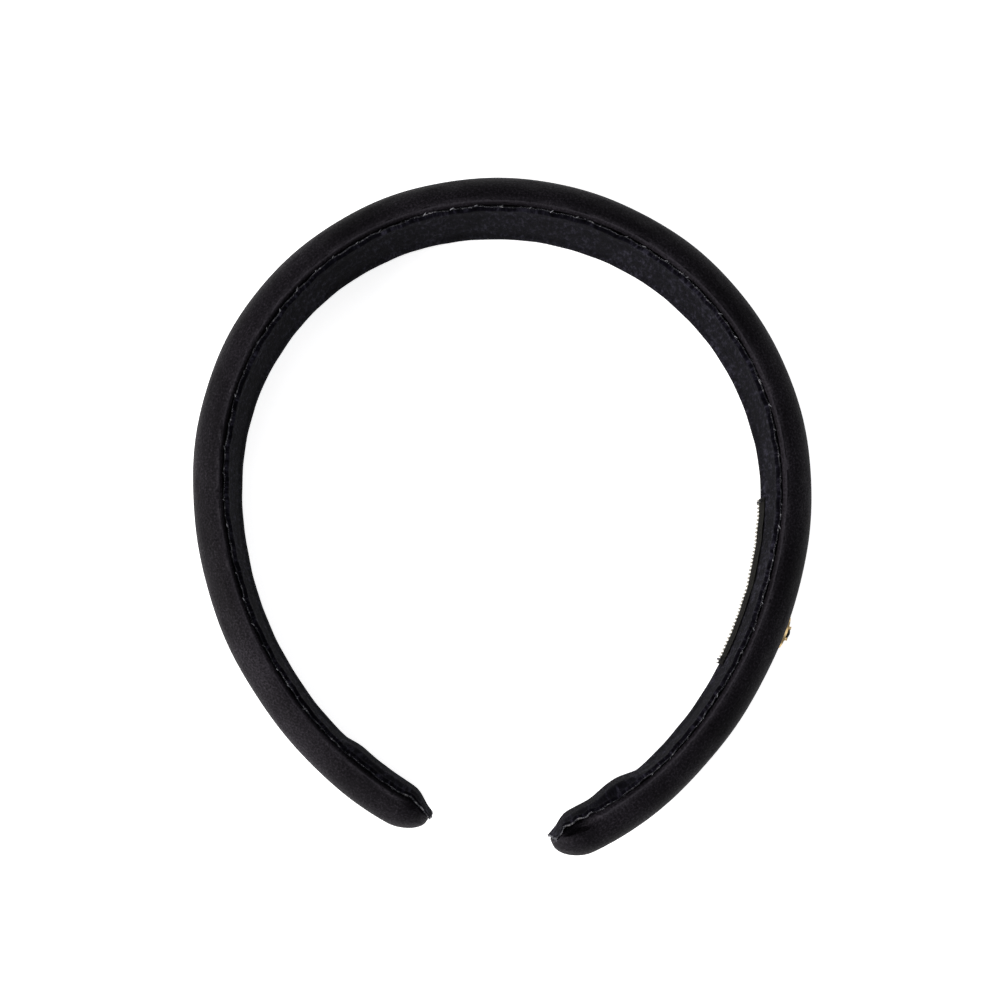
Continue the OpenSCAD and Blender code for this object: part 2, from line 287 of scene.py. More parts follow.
def back(s, depth):
    """n of the ribbon's outer side at that depth from the band's edge.

    The folded satin under the ribbon lifts its middle."""
    lift = np.maximum(-CLOTH - np.interp(s, GRID, LINING_FACES) - LINING_T, 0)
    right, right_middle, right_half = RIDGE_RIGHT
    left, left_middle, left_half = RIDGE_LEFT
    ridge = (right * bump(s, RIGHT_TIP - right_middle, right_half)
             + left * bump(s, LEFT_TIP + left_middle, left_half))
    return pressed(s) - CLOTH - (lift + ridge) * step(depth, 0.3 * MM, 4 * MM)


def gap(s):
    """Depth of the open gap beside the upper edge."""
    left, left_middle, left_half = GAP_LEFT
    right, right_middle, right_half = GAP_RIGHT
    open_left = left * bump(s, LEFT_TIP + left_middle, left_half)
    open_right = right * bump(s, RIGHT_TIP - right_middle, right_half)
    return (open_left + open_right) * rounding(s)**2


def from_tip(s):
    """Distance to the nearer tip."""
    return np.minimum(s - LEFT_TIP, RIGHT_TIP - s)


def rounding(s):
    """1 along the band, falling to 0 round each tip."""
    past = np.clip(1 - from_tip(s) / TIP_ROUND, 0, 1)
    return np.sqrt(np.maximum(0, 1 - past**2))


def waves(s, height, lengths, seed):
    """Gentle unevenness along s, the sum of sines of those wavelengths."""
    turns = np.random.default_rng(SEEDS[seed]).uniform(0, 2 * math.pi, len(lengths))
    total = sum(np.sin(2 * math.pi * s / l + t) for l, t in zip(lengths, turns))
    return height * total / math.sqrt(len(lengths))


def step(x, low, high):
    """0 below low, 1 above high, smooth between."""
    t = np.clip((x - low) / (high - low), 0, 1)
    return t * t * (3 - 2 * t)


def bump(s, middle, half):
    """1 at the middle, 0 beyond half on each side."""
    return np.clip(1 - ((s - middle) / half)**2, 0, 1)**2


# --- Meshes ---------------------------------------------------------------------------------------

def mesh_object(name, points, faces, materials, face_materials=None, uvs=None, smooth=True, paling=None):
    """A mesh piece that rides on the hoop.

    uvs holds one pair for each corner of each face, and wear one number for each point."""
    mesh = bpy.data.meshes.new(name)
    mesh.from_pydata([tuple(p) for p in points], [], faces)
    for m in materials:
        mesh.materials.append(m)
    if face_materials is not None:
        mesh.polygons.foreach_set("material_index", np.asarray(face_materials, np.int32))
    if uvs is not None:
        mesh.uv_layers.new(name="cloth").uv.foreach_set("vector", np.asarray(uvs, np.float32).ravel())
    if paling is not None:
        mesh.attributes.new("paling", "FLOAT", "POINT").data.foreach_set("value", np.asarray(paling, np.float32))
    mesh.polygons.foreach_set("use_smooth", np.full(len(faces), smooth))
    mesh.update()
    piece = bpy.data.objects.new(name, mesh)
    bpy.context.scene.collection.objects.link(piece)
    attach(piece, BODY)
    return piece


def wrapped(count, wide, closed):
    """Quads of a grid of count rings of wide points; closed joins each ring's last point to its first."""
    i = np.arange(count - 1)[:, None] * wide
    j = np.arange(wide if closed else wide - 1)[None]
    k = (j + 1) % wide
    return np.stack([i + j, i + k, i + wide + k, i + wide + j], -1).reshape(-1, 4)


def fan_ends(count, wide):
    """The two end faces of a closed tube."""
    last = (count - 1) * wide
    return [list(range(wide - 1, -1, -1)), list(range(last, last + wide))]


def closed_skin(count, wide):
    """Faces of a closed tube whose rings run from the upper edge outward and down, end faces last."""
    return wrapped(count, wide, True)[:, ::-1].tolist() + [f[::-1] for f in fan_ends(count, wide)]


# --- Materials ------------------------------------------------------------------------------------

class Nodes:
    """Short ways to add and link shader nodes of one material."""

    def __init__(self, name):
        self.material = bpy.data.materials.new(name)
        self.material.use_nodes = True
        self.tree = self.material.node_tree
        self.shader = self.tree.nodes["Principled BSDF"]

    def add(self, kind, inputs=(), **settings):
        node = self.tree.nodes.new("ShaderNode" + kind)
        for key, value in settings.items():
            setattr(node, key, value)
        for key, value in dict(inputs).items():
            if isinstance(value, bpy.types.NodeSocket):
                self.tree.links.new(value, node.inputs[key])
            else:
                node.inputs[key].default_value = value
        return node

    def set(self, **values):
        for key, value in values.items():
            socket = self.shader.inputs[key.replace("_", " ")]
            if isinstance(value, bpy.types.NodeSocket):
                self.tree.links.new(value, socket)
            else:
                socket.default_value = value

    def coordinates(self):
        return self.add("TexCoord").outputs["Object"]

    def cloth(self):
        """Places on the flat cloth, in millimetres."""
        return self.scaled(self.add("TexCoord").outputs["UV"], (1000, 1000, 1))

    def scaled(self, vector, scale):
        return self.add("Mapping", {"Vector": vector, "Scale": scale}).outputs[0]

    def noise(self, vector, scale, detail=2.0, rough=0.5):
        inputs = {"Vector": vector, "Scale": scale, "Detail": detail, "Roughness": rough}
        return self.add("TexNoise", inputs).outputs[0]

    def bands(self, vector, scale, way, distortion, detail):
        """Waves across the cloth, along X or Y."""
        inputs = {"Vector": vector, "Scale": scale, "Distortion": distortion, "Detail": detail}
        return self.add("TexWave", inputs, bands_direction=way).outputs[1]

    def ramp(self, value, stops):
        """Colours or greys by value; stops are (place, colour)."""
        node = self.add("ValToRGB", {"Fac": value})
        band = node.color_ramp
        while len(band.elements) < len(stops):
            band.elements.new(0.5)
        for element, (place, colour) in zip(band.elements, stops):
            element.position = place
            element.color = colour if len(colour) == 4 else (*colour, 1)
        return node.outputs[0]

    def product(self, a, b):
        return self.add("Math", {0: a, 1: b}, operation="MULTIPLY").outputs[0]

    def mixed(self, share, a, b):
        """a, with that share of b."""
        return self.add("Mix", {0: share, 2: a, 3: b}, data_type="FLOAT").outputs[0]

    def mixed_colours(self, share, a, b):
        return self.add("Mix", {0: share, 6: a, 7: b}, data_type="RGBA").outputs[2]

    def ranged(self, value, low, high):
        """low where a noise value is low, and high where it is high."""
        return self.add("MapRange", {0: value, 1: 0.3, 2: 0.7, 3: low, 4: high}).outputs[0]

    def paling(self):
        """The mesh's own value for each point, by which a colour goes paler: on the satin a painted highlight
        along its turned edge, on the ribbon's ground its pale raw ends.
        """
        return self.add("Attribute", attribute_name="paling").outputs["Fac"]

    def bump(self, height, distance, strength=1.0, normal=None):
        inputs = {"Height": height, "Distance": distance, "Strength": strength}
        if normal is not None:
            inputs["Normal"] = normal
        return self.add("Bump", inputs).outputs[0]


def satin():
    """Matt side of a satin weave: speckled, with faint floats, and a painted highlight, paler colour, along
    the turned edge.
    """
    m = Nodes("black_satin")
    cloth = m.cloth()
    floats = m.noise(m.scaled(cloth, (1.0, 5.0, 1)), 1.0, 2, 0.6)
    grain = m.noise(cloth, 1.9, 3, 0.75)
    patches = m.noise(m.coordinates(), 55, 3, 0.5)
    shade = m.mixed(0.3, grain, patches)
    plain = m.ramp(shade, [(0.36, (0.001, 0.0008, 0.0012)), (0.5, (0.0054, 0.0046, 0.006)),
                           (0.64, (0.02, 0.0175, 0.022))])
    # Painted highlight: the turned edge is made paler in colour, broken up by the grain
    edge_highlight = m.product(m.paling(), grain)
    m.set(Base_Color=m.mixed_colours(edge_highlight, plain, (0.034, 0.031, 0.037, 1)),
          Roughness=m.ranged(grain, 0.72, 0.52),
          Specular_IOR_Level=0.03)
    coarse = m.bump(patches, 0.25 * MM, 0.5)
    fine = m.bump(grain, 0.05 * MM, 0.8, coarse)
    m.set(Normal=m.bump(floats, 0.04 * MM, 0.7, fine))
    return m.material


def velvet():
    """Short pile that lies in patches, longer across the ribbon than along it; the lighter and darker patches
    in its colour are partly the pile's own tone and partly painted sheen.
    """
    m = Nodes("black_velvet")
    cloth = m.cloth()
    pile = m.noise(m.scaled(cloth, (1.3, 0.33, 1)), 1.0, 3, 0.75)
    nap = m.noise(m.scaled(cloth, (0.09, 0.05, 1)), 1.0, 4, 0.65)
    tufts = m.noise(m.scaled(cloth, (0.75, 0.2, 1)), 1.0, 3, 0.65)
    pile_lie_and_sheen = m.mixed(0.6, nap, tufts)
    shade = m.mixed(0.4, pile_lie_and_sheen, pile)
    # Partly painted sheen: the colour runs from near black to a paler blue-grey over the pile's patches and
    # speckle
    m.set(Base_Color=m.ramp(shade, [(0.41, (0.0003, 0.0002, 0.0006)), (0.51, (0.0018, 0.0016, 0.003)),
                                    (0.62, (0.018, 0.017, 0.025))]),
          Roughness=0.95,
          Specular_IOR_Level=0.02,
          Sheen_Weight=0.004,
          Sheen_Roughness=0.6,
          Sheen_Tint=(0.82, 0.84, 1.0, 1.0))
    m.set(Normal=m.bump(pile, 0.25 * MM, 1.0, m.bump(pile_lie_and_sheen, 0.4 * MM, 0.7)))
    return m.material


def backing():
    """The velvet's woven ground, pale where it was cut."""
    m = Nodes("velvet_ground")
    place = m.coordinates()
    flecks = m.noise(place, 650, 3, 0.75)
    sewn = m.ramp(flecks, [(0.44, (0.003, 0.003, 0.004)), (0.6, (0.022, 0.022, 0.026)),
                           (0.72, (0.22, 0.215, 0.22))])
    raw = m.ramp(flecks, [(0.4, (0.006, 0.006, 0.008)), (0.52, (0.05, 0.05, 0.055)),
                          (0.68, (0.27, 0.26, 0.265))])
    m.set(Base_Color=m.mixed_colours(m.paling(), sewn, raw), Roughness=0.9, Specular_IOR_Level=0.1)
    m.set(Normal=m.bump(m.noise(place, 2500, 2), 0.08 * MM, 0.8))
    return m.material


def fibre(name, dark, light):
    """Thread or cut pile, flecked between two colours."""
    m = Nodes(name)
    flecks = m.noise(m.coordinates(), 330, 3, 0.8)
    m.set(Base_Color=m.ramp(flecks, [(0.4, dark), (0.66, light)]), Roughness=0.75, Specular_IOR_Level=0.15)
    m.set(Normal=m.bump(m.noise(m.coordinates(), 6000, 1), 0.02 * MM, 0.6))
    return m.material


def label_weave():
    """The pale warp that shows along the label's folded edge."""
    m = Nodes("label_weave")
    cloth = m.cloth()
    weave = m.product(m.bands(cloth, 0.9, "X", 0.6, 1.0), m.bands(cloth, 1.3, "Y", 0.4, 1.0))
    stained = m.product(weave, m.noise(cloth, 0.35, 2))
    m.set(Base_Color=m.ramp(stained, [(0.04, (0.08, 0.075, 0.065)), (0.28, (0.6, 0.58, 0.5))]),
          Roughness=0.8, Specular_IOR_Level=0.1)
    m.set(Normal=m.bump(weave, 0.1 * MM, 0.8))
    return m.material


def label_dark_face():
    """The label's dark face."""
    m = Nodes("label_dark_face")
    warp = m.bands(m.cloth(), 1.1, "X", 0.5, 2.0)
    # Nearly black all over but for the pale loops along the fold
    m.set(Base_Color=m.ramp(warp, [(0.0, (0.002, 0.002, 0.002)), (1.0, (0.013, 0.0125, 0.011))]),
          Roughness=0.9, Specular_IOR_Level=0.02)
    m.set(Normal=m.bump(warp, 0.08 * MM, 0.8))
    return m.material


def gold():
    m = Nodes("badge_metal")
    place = m.coordinates()
    paling = m.noise(place, 900, 4, 0.6)
    m.set(Base_Color=m.ramp(paling, [(0.35, (0.42, 0.28, 0.12)), (0.7, (0.78, 0.6, 0.33))]),
          Metallic=1.0,
          Roughness=m.ranged(paling, 0.24, 0.4))
    m.set(Normal=m.bump(m.noise(place, 3000, 3), 0.01 * MM, 0.5))
    return m.material


def stone():
    m = Nodes("badge_stone")
    depth = m.noise(m.coordinates(), 700, 3)
    m.set(Base_Color=m.ramp(depth, [(0.3, (0.002, 0.002, 0.003)), (0.7, (0.012, 0.012, 0.015))]),
          Roughness=m.ranged(depth, 0.6, 0.75),
          Specular_IOR_Level=0.05)
    return m.material


def plastic():
    m = Nodes("core_plastic")
    place = m.coordinates()
    flow = m.noise(m.scaled(place, (1, 1, 0.3)), 120, 4)
    m.set(Base_Color=m.ramp(flow, [(0.3, (0.62, 0.62, 0.6)), (0.7, (0.78, 0.78, 0.75))]), Roughness=0.5)
    m.set(Normal=m.bump(m.noise(place, 1500, 2), 0.03 * MM, 0.5))
    return m.material


def sponge():
    m = Nodes("sponge")
    cells = m.add("TexVoronoi", {"Vector": m.coordinates(), "Scale": 1600.0}).outputs[0]
    m.set(Base_Color=m.ramp(cells, [(0.1, (0.35, 0.32, 0.24)), (0.7, (0.8, 0.76, 0.62))]), Roughness=0.95)
    m.set(Normal=m.bump(cells, 0.3 * MM, 0.9))
    return m.material


def steel():
    m = Nodes("washer_steel")
    brushed = m.noise(m.scaled(m.coordinates(), (1, 1, 12)), 900, 3)
    m.set(Base_Color=m.ramp(brushed, [(0.3, (0.5, 0.5, 0.5)), (0.7, (0.66, 0.66, 0.66))]),
          Metallic=1.0,
          Roughness=m.ranged(brushed, 0.25, 0.45))
    return m.material


def table_top():
    m = Nodes("table_top")
    paper = m.noise(m.coordinates(), 40, 3)
    m.set(Base_Color=m.ramp(paper, [(0.3, (0.86, 0.86, 0.86)), (0.7, (0.9, 0.9, 0.9))]),
          Roughness=0.9,
          Specular_IOR_Level=0.1,
          Emission_Color=(1.0, 1.0, 1.0, 1.0),
          Emission_Strength=0.7)
    return m.material


# --- Satin cover and the sponge under it ----------------------------------------------------------

def ring_places(first, last):
    """Places of the rings: even along the band, closer together round the tips."""
    even = np.arange(first + TIP_ROUND, last - TIP_ROUND, RING_STEP)
    turn = np.linspace(0, 1, TIP_RINGS + 1)[1:] * math.radians(87.5)
    tip = TIP_ROUND * np.sin(turn)
    return np.concatenate([(first + TIP_ROUND - tip)[::-1], even, last - TIP_ROUND + tip])


def lumps(s):
    """How the padding rises and falls along the hoop."""
    return waves(s, 0.1 * MM, [23 * MM, 37 * MM, 61 * MM, 94 * MM], "lumps")


def band_edges(s):
    """Lowest and highest z of the band, whose tips are round."""
    mid, half = width(s) / 2, width(s) / 2 * rounding(s)
    return mid - half, mid + half


def roll(s):
    """Radius of the turned edge."""
    low, top = band_edges(s)
    return min(ROLL, 0.17 * (top - low))


def dome(s, angle, inset=0.0):
    """Points of the padded crown at those angles, 0 at the upper edge and 180 degrees at the lower one."""
    low, top = band_edges(s)
    mid, half = (low + top) / 2, (top - low) / 2 - inset
    base = back(s, 0) + roll(s)
    rise = (crest(s) + lumps(s) - base) * rounding(s) - inset
    gathers = 1 + 0.022 * np.sin(11 * angle + 1.3) * step(rounding(s), 1.0, 0.6)
    power = 2 / PAD_POWER
    across = np.abs(np.cos(angle))**power * np.sign(np.cos(angle))
    opened = np.clip(gap(s) / (3 * MM), 0, 1) * np.clip(np.cos(angle), 0, 1)**6
    n = base + rise * gathers * np.abs(np.sin(angle))**power
    return n + (np.maximum(n, CORE_T + 0.15 * MM) - n) * opened, mid + half * across


def settled_crown():
    """How far the satin moves as it settles under tension over the sponge, by cloth simulation.

    Gives the rings' places and, for each ring and angle, the move in n and in z. The sewn edges and the tips'
    ends are held. The cloth has a little slack, and more at the tips, where it is gathered."""
    even = ring_places(LEFT_TIP, RIGHT_TIP)
    near = from_tip(even) < 12 * MM
    rings = even[near | (np.arange(len(even)) % 3 == 0)]
    angle = np.radians(np.linspace(0, 180, CROWN_POINTS))
    moves = np.zeros((len(rings), CROWN_POINTS, 2))
    start = np.array([places(s, *dome(s, angle, 0.1 * MM * rounding(s))) for s in rings])
    mesh = bpy.data.meshes.new("crown_trial")
    faces = wrapped(len(rings), CROWN_POINTS, False)[:, ::-1]
    mesh.from_pydata((start.reshape(-1, 3) * SIM_SCALE).tolist(), [], faces.tolist())
    trial = bpy.data.objects.new("crown_trial", mesh)
    bpy.context.scene.collection.objects.link(trial)
    held = np.zeros((len(rings), CROWN_POINTS))
    held[:, [0, 1, -2, -1]] = 1
    held[[0, -1]] = 1
    slack = np.repeat(step(from_tip(rings), 11 * MM, 3 * MM), CROWN_POINTS)
    for name, weights in (("held", held.ravel()), ("slack", slack)):
        group = trial.vertex_groups.new(name=name)
        for i in np.flatnonzero(weights):
            group.add([int(i)], float(weights[i]), "REPLACE")
    cloth = trial.modifiers.new("settle", "CLOTH")
    settings = cloth.settings
    settings.quality = SIM_QUALITY
    settings.tension_stiffness = SIM_STIFFNESS
    settings.compression_stiffness = SIM_STIFFNESS
    settings.bending_stiffness = SIM_BENDING
    settings.vertex_group_mass = "held"
    settings.vertex_group_shrink = "slack"
    settings.shrink_min = -SIM_SLACK[0]
    settings.shrink_max = -SIM_SLACK[1]
    settings.use_pressure = True
    settings.uniform_pressure_force = SIM_PRESSURE
    settings.effector_weights.gravity = 0
    cloth.point_cache.frame_end = SIM_FRAMES
    for frame_number in range(1, SIM_FRAMES + 1):
        bpy.context.scene.frame_set(frame_number)
    found = trial.evaluated_get(bpy.context.evaluated_depsgraph_get()).data
    flat = np.empty(3 * len(found.vertices), np.float32)
    found.vertices.foreach_get("co", flat)
    moved = flat.reshape(start.shape) / SIM_SCALE - start
    size = np.linalg.norm(moved, axis=2, keepdims=True)
    moved *= SIM_CAP / (SIM_CAP + size)
    bpy.data.objects.remove(trial)
    bpy.data.meshes.remove(mesh)
    bpy.context.scene.frame_set(1)
    way = np.column_stack([np.interp(rings, PATH_S, side) for side in OUTWARD.T])
    moves[..., 0] = (moved[..., :2] * way[:, None]).sum(2)
    moves[..., 1] = moved[..., 2]
    return rings, moves


def settled_at(s):
    """The moves in n and z of the crown's points at s."""
    rings, moves = SETTLED
    k = int(np.clip(np.searchsorted(rings, s), 1, len(rings) - 1))
    share = np.clip((s - rings[k - 1]) / (rings[k] - rings[k - 1]), 0, 1)
    return (moves[k - 1] * (1 - share) + moves[k] * share).T


def cover_outline(s):
    """n and z of the satin's outer side at s, from the upper hem over the crown to the lower hem."""
    low, top = band_edges(s)
    half = (top - low) / 2
    turned = roll(s)
    folded = step(from_tip(s), 24 * MM, 21 * MM)
    hem = min(HEM + max(half - HEM, 0) * folded, half - 0.05 * MM)
    down = np.linspace(1, 0, EDGE_POINTS // 2 + 1)[:-1] * (hem - turned) + turned
    turn = np.radians(np.linspace(0, 90, EDGE_POINTS // 2))
    edge_z = np.concatenate([down, turned * (1 - np.sin(turn))])
    edge_n = back(s, edge_z) + np.concatenate([np.zeros(len(down)), turned * (1 - np.cos(turn))])
    pad_n, pad_z = dome(s, np.radians(np.linspace(0, 180, CROWN_POINTS))) + settled_at(s)
    sunk = gap(s) * (1 - step(edge_z, 0.5 * (hem + turned), hem))
    wall = np.linspace(0, 1, WALL_POINTS + 2)[1:-1]
    wall_n = edge_n[-1] + (pad_n[0] - edge_n[-1]) * wall
    wall_z = top - gap(s) * (1 - wall**5)
    n = np.concatenate([edge_n, wall_n, pad_n, edge_n[::-1]])
    z = np.concatenate([top - edge_z - np.minimum(sunk, 0.4 * half), wall_z, pad_z, (low + edge_z)[::-1]])
    return n, z


def inset_outline(n, z, distance):
    """The same outline moved inward, towards the core."""
    dn, dz = np.gradient(n), np.gradient(z)
    size = np.maximum(np.hypot(dn, dz), 1e-9)
    return n + distance * dz / size, z - distance * dn / size


def edge_strip(line, shift, turned):
    """Quads that join a line of points of one skin to the same points of the other."""
    strip = np.stack([line[:-1], line[1:], line[1:] + shift, line[:-1] + shift], -1)
    return strip[:, ::-1] if turned else strip


def build_cover(materials):
    """The satin as a closed sheet: outer and inner skin, joined along the hems' ends and at the tips."""
    rings = ring_places(LEFT_TIP, RIGHT_TIP)
    outer, inner, lengths = [], [], []
    for s in rings:
        n, z = cover_outline(s)
        thick = min(CLOTH, 0.2 * np.ptp(z), 0.2 * np.ptp(n))
        inner_n, inner_z = inset_outline(n, z, thick)
        outer.append(places(s, n, z))
        inner.append(places(s, inner_n, inner_z))
        lengths.append(np.concatenate([[0], np.cumsum(np.hypot(np.diff(n), np.diff(z)))]))
    wide = len(outer[0])
    count = len(rings)
    across = np.array(lengths)
    across -= across[:, -1:] / 2
    v = np.concatenate([across, across])
    u = np.repeat(np.concatenate([rings, rings]), wide).reshape(2 * count, wide)
    points = np.concatenate([np.array(outer).reshape(-1, 3), np.array(inner).reshape(-1, 3)])
    skin = wrapped(count, wide, False)
    shift = count * wide
    hem_line = np.arange(count) * wide
    tip_line = np.arange(wide)
    faces = np.concatenate([skin[:, ::-1],
                            skin + shift,
                            edge_strip(hem_line, shift, False),
                            edge_strip(hem_line + wide - 1, shift, True),
                            edge_strip(tip_line, shift, True),
                            edge_strip(tip_line + shift - wide, shift, False)])
    uv = np.stack([u.ravel(), v.ravel()], -1)[faces.ravel()]
    # Painted highlight: the turned edge and the wall up to the padding get a paler colour, left off where the
    # gap beside a tip is open
    edge_highlight = np.zeros(wide)
    turned_edge = slice(EDGE_POINTS - 3, EDGE_POINTS + WALL_POINTS + 2)
    edge_highlight[turned_edge] = [0.4, 0.9, 1.0] + [0.8] * WALL_POINTS + [0.5, 0.2]
    shown = 1 - np.clip(gap(rings) / (0.8 * MM), 0, 1)
    paling = np.tile((shown[:, None] * edge_highlight).ravel(), 2)
    piece = mesh_object("satin_cover_cloth", points, faces.tolist(), materials, uvs=uv, paling=paling)
    cut = float(np.trapz(np.ptp(across, axis=1), rings))
    widest = float(np.ptp(across, axis=1).max())
    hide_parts("satin_cover")
    return piece, (widest + CUT_WIDER, RIGHT_TIP - LEFT_TIP + CUT_LONGER), cut


def build_sponge(materials, badge):
    """The crowned strip under the satin, with the washer's pocket pressed into it."""
    rings = ring_places(LEFT_TIP + 2 * CLOTH, RIGHT_TIP - 2 * CLOTH)
    angle = np.radians(np.linspace(0, 180, CROWN_POINTS))
    out = []
    for s in rings:
        inset = min(CLOTH, 0.2 * np.ptp(band_edges(s)))
        n, z = dome(s, angle, inset) + settled_at(s)
        n = np.maximum(n, min(CORE_T + 0.05 * MM, n.max() - 0.1 * MM))
        z = np.minimum(z, band_edges(s)[1] - inset - gap(s))
        away = np.hypot(s - badge["s"], z - badge["z"])
        pocket = 1 - step(away, badge["pocket"], badge["pocket"] + 1 * MM)
        n = n + (np.minimum(n, badge["floor"]) - n) * pocket
        out.append(places(s, n, z))
    faces = closed_skin(len(rings), len(angle))
    piece = mesh_object("foam_pad_sponge", np.array(out).reshape(-1, 3), faces, materials)
    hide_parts("foam_pad")
    return piece


def build_core(materials):
    """The moulded hoop, as the CAD has it but set down beside the gaps at the upper edge."""
    rings = ring_places(LEFT_TIP + 2.6 * MM, RIGHT_TIP - 2.6 * MM)
    turn = np.radians(np.linspace(0, 180, 9))
    corner = 0.5 * CORE_T
    out = []
    for s in rings:
        low, top = band_edges(s)
        low, top = low + CLOTH + 0.1 * MM, top - CLOTH - 0.1 * MM - gap(s)
        round_n = corner - corner * np.cos(turn)
        round_z = min(corner, 0.3 * (top - low)) * (np.sin(turn) - 1)
        n = np.concatenate([round_n, round_n[::-1]]) + pressed(s)
        z = np.concatenate([top + round_z, (low - round_z)[::-1]])
        out.append(places(s, n, z))
    faces = closed_skin(len(rings), 2 * len(turn))
    piece = mesh_object("core_hoop", np.array(out).reshape(-1, 3), faces, materials)
    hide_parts("core_band")


# --- Velvet lining --------------------------------------------------------------------------------

def lining_edges(s):
    """Lowest and highest z of the ribbon, whose cut edge wanders a little."""
    low, top = np.interp(s, GRID, LINING_LOW), np.interp(s, GRID, LINING_TOP)
    square = SQUARED * step(from_tip(s), 9 * MM, 0)
    inset = LINING_LOW.min()
    low_wave = waves(s, 0.05 * MM, [4.1 * MM, 7.3 * MM, 13 * MM], "low edge")
    top_wave = waves(s, 0.07 * MM, [3.7 * MM, 6.1 * MM, 11 * MM, 19 * MM], "top edge")
    return low - square * (low - inset) + low_wave, top + square * (width(s) - inset - top) + top_wave


def lining_shift(s, across):
    """How far the ribbon's inner face lies outward of an even thickness, for it sinks between the hems."""
    low, top = lining_edges(s)
    depth = (1 - np.abs(across)) * (top - low) / 2
    sunk = 0.3 * MM * step(depth, HEM - 2.2 * MM, HEM + 0.6 * MM) * step(from_tip(s), 26 * MM, 34 * MM)
    return sunk + waves(s + 3 * MM * across, 0.05 * MM, [9 * MM, 17 * MM, 29 * MM], "face")


def curl(s, across):
    """How far the ribbon's edge stands in from the satin: a slit along the seam, and more beside the gaps."""
    slit = np.maximum(0.34 * MM + waves(s, 0.17 * MM, [5.3 * MM, 13 * MM, 31 * MM], "slit"), 0)
    ripple = 1 + 0.7 * np.sin(2 * math.pi * s / (4.3 * MM))
    loose = 0.3 * np.minimum(gap(s), 1.6 * MM) * ripple
    return slit * step(across, 0.84, 1.0) + loose * step(across, 0.5, 1.0)


def lining_back(s, across):
    """n of the ribbon's outer side."""
    low, top = lining_edges(s)
    return back(s, (1 - np.abs(across)) * (top - low) / 2) - curl(s, across)


def raw_edge(s):
    """1 at the ribbon's cut ends, where the edge is frayed, falling to 0 along the band."""
    return step(from_tip(s), 13 * MM, 6 * MM)


def lining_thick(s):
    """Thickness of the ribbon, whose pile is crushed at the tips."""
    return LINING_T * (0.5 + 0.5 * step(from_tip(s), 0, 7 * MM))


def lining_outline(s):
    """n, z and material of the ribbon's section at s, up its outer side and down its inner one."""
    low, top = lining_edges(s)
    mid, half = (low + top) / 2, (top - low) / 2
    thick = lining_thick(s)
    turn = np.radians(np.linspace(0, 90, SHOULDER_POINTS))
    backed = BACKING * (1 + 0.3 * raw_edge(s)) / thick
    shoulder_z = 1 - SHOULDER / half * (1 - np.cos(turn))
    shoulder_n = backed + (1 - backed) * np.sin(turn)
    flat = np.linspace(shoulder_z[-1], -shoulder_z[-1], FACE_POINTS)[1:-1]
    across = np.concatenate([np.linspace(-1, 1, BACK_POINTS), [1], shoulder_z, flat,
                             -shoulder_z[::-1], [-1]])
    share = np.concatenate([np.zeros(BACK_POINTS), [backed], shoulder_n, np.ones(len(flat)),
                            shoulder_n[::-1], [backed]])
    n = lining_back(s, across) - thick * share + share * lining_shift(s, across)
    z = mid + half * across
    # The pile stands back a little from the ground's cut edge
    z[BACK_POINTS + 1] -= 0.04 * MM
    z[-2] += 0.04 * MM
    # Two faces of each ring show the ground: above the outer side's last point, and the one that closes it
    ground = np.zeros(len(across), int)
    ground[[BACK_POINTS - 1, -1]] = 1
    return n, z, ground


def slanted(s, z, low, top):
    """Places along the hoop moved as the ribbon's right end is cut, further back the higher it is."""
    last = LINING[-1, 0]
    return s - SLANT * step(s, last - 5 * MM, last) * (z - low) / (top - low)


def build_lining(materials):
    """The velvet ribbon, pile inward, with its flat size and cut area."""
    first, last = LINING[0, 0], LINING[-1, 0]
    even = np.arange(first + 0.8 * MM, last - 0.6 * MM, RING_STEP)
    rings = np.concatenate([[first, first + 0.3 * MM], even, [last - 0.3 * MM, last]])
    out, v, cut = [], [], []
    for s in rings:
        n, z, ground = lining_outline(s)
        out.append(places(slanted(s, z, z.min(), z.max()), n, z))
        v.append(np.concatenate([[0], np.cumsum(np.hypot(np.diff(n), np.diff(z)))]))
        cut.append(np.ptp(z))
    wide = len(ground)
    count = len(rings)
    faces = closed_skin(count, wide)
    u = np.repeat(rings, wide)
    uv = np.stack([u, np.array(v).ravel()], -1)
    corners = [uv[f] for f in faces]
    painted = np.concatenate([np.tile(ground, count - 1), [0, 0]])
    piece = mesh_object("velvet_ribbon", np.array(out).reshape(-1, 3), faces, materials, painted,
                        np.concatenate(corners), paling=np.repeat(raw_edge(rings), wide))
    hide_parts("velvet_lining")
    return piece, (max(cut), last - first), float(np.trapz(cut, rings))


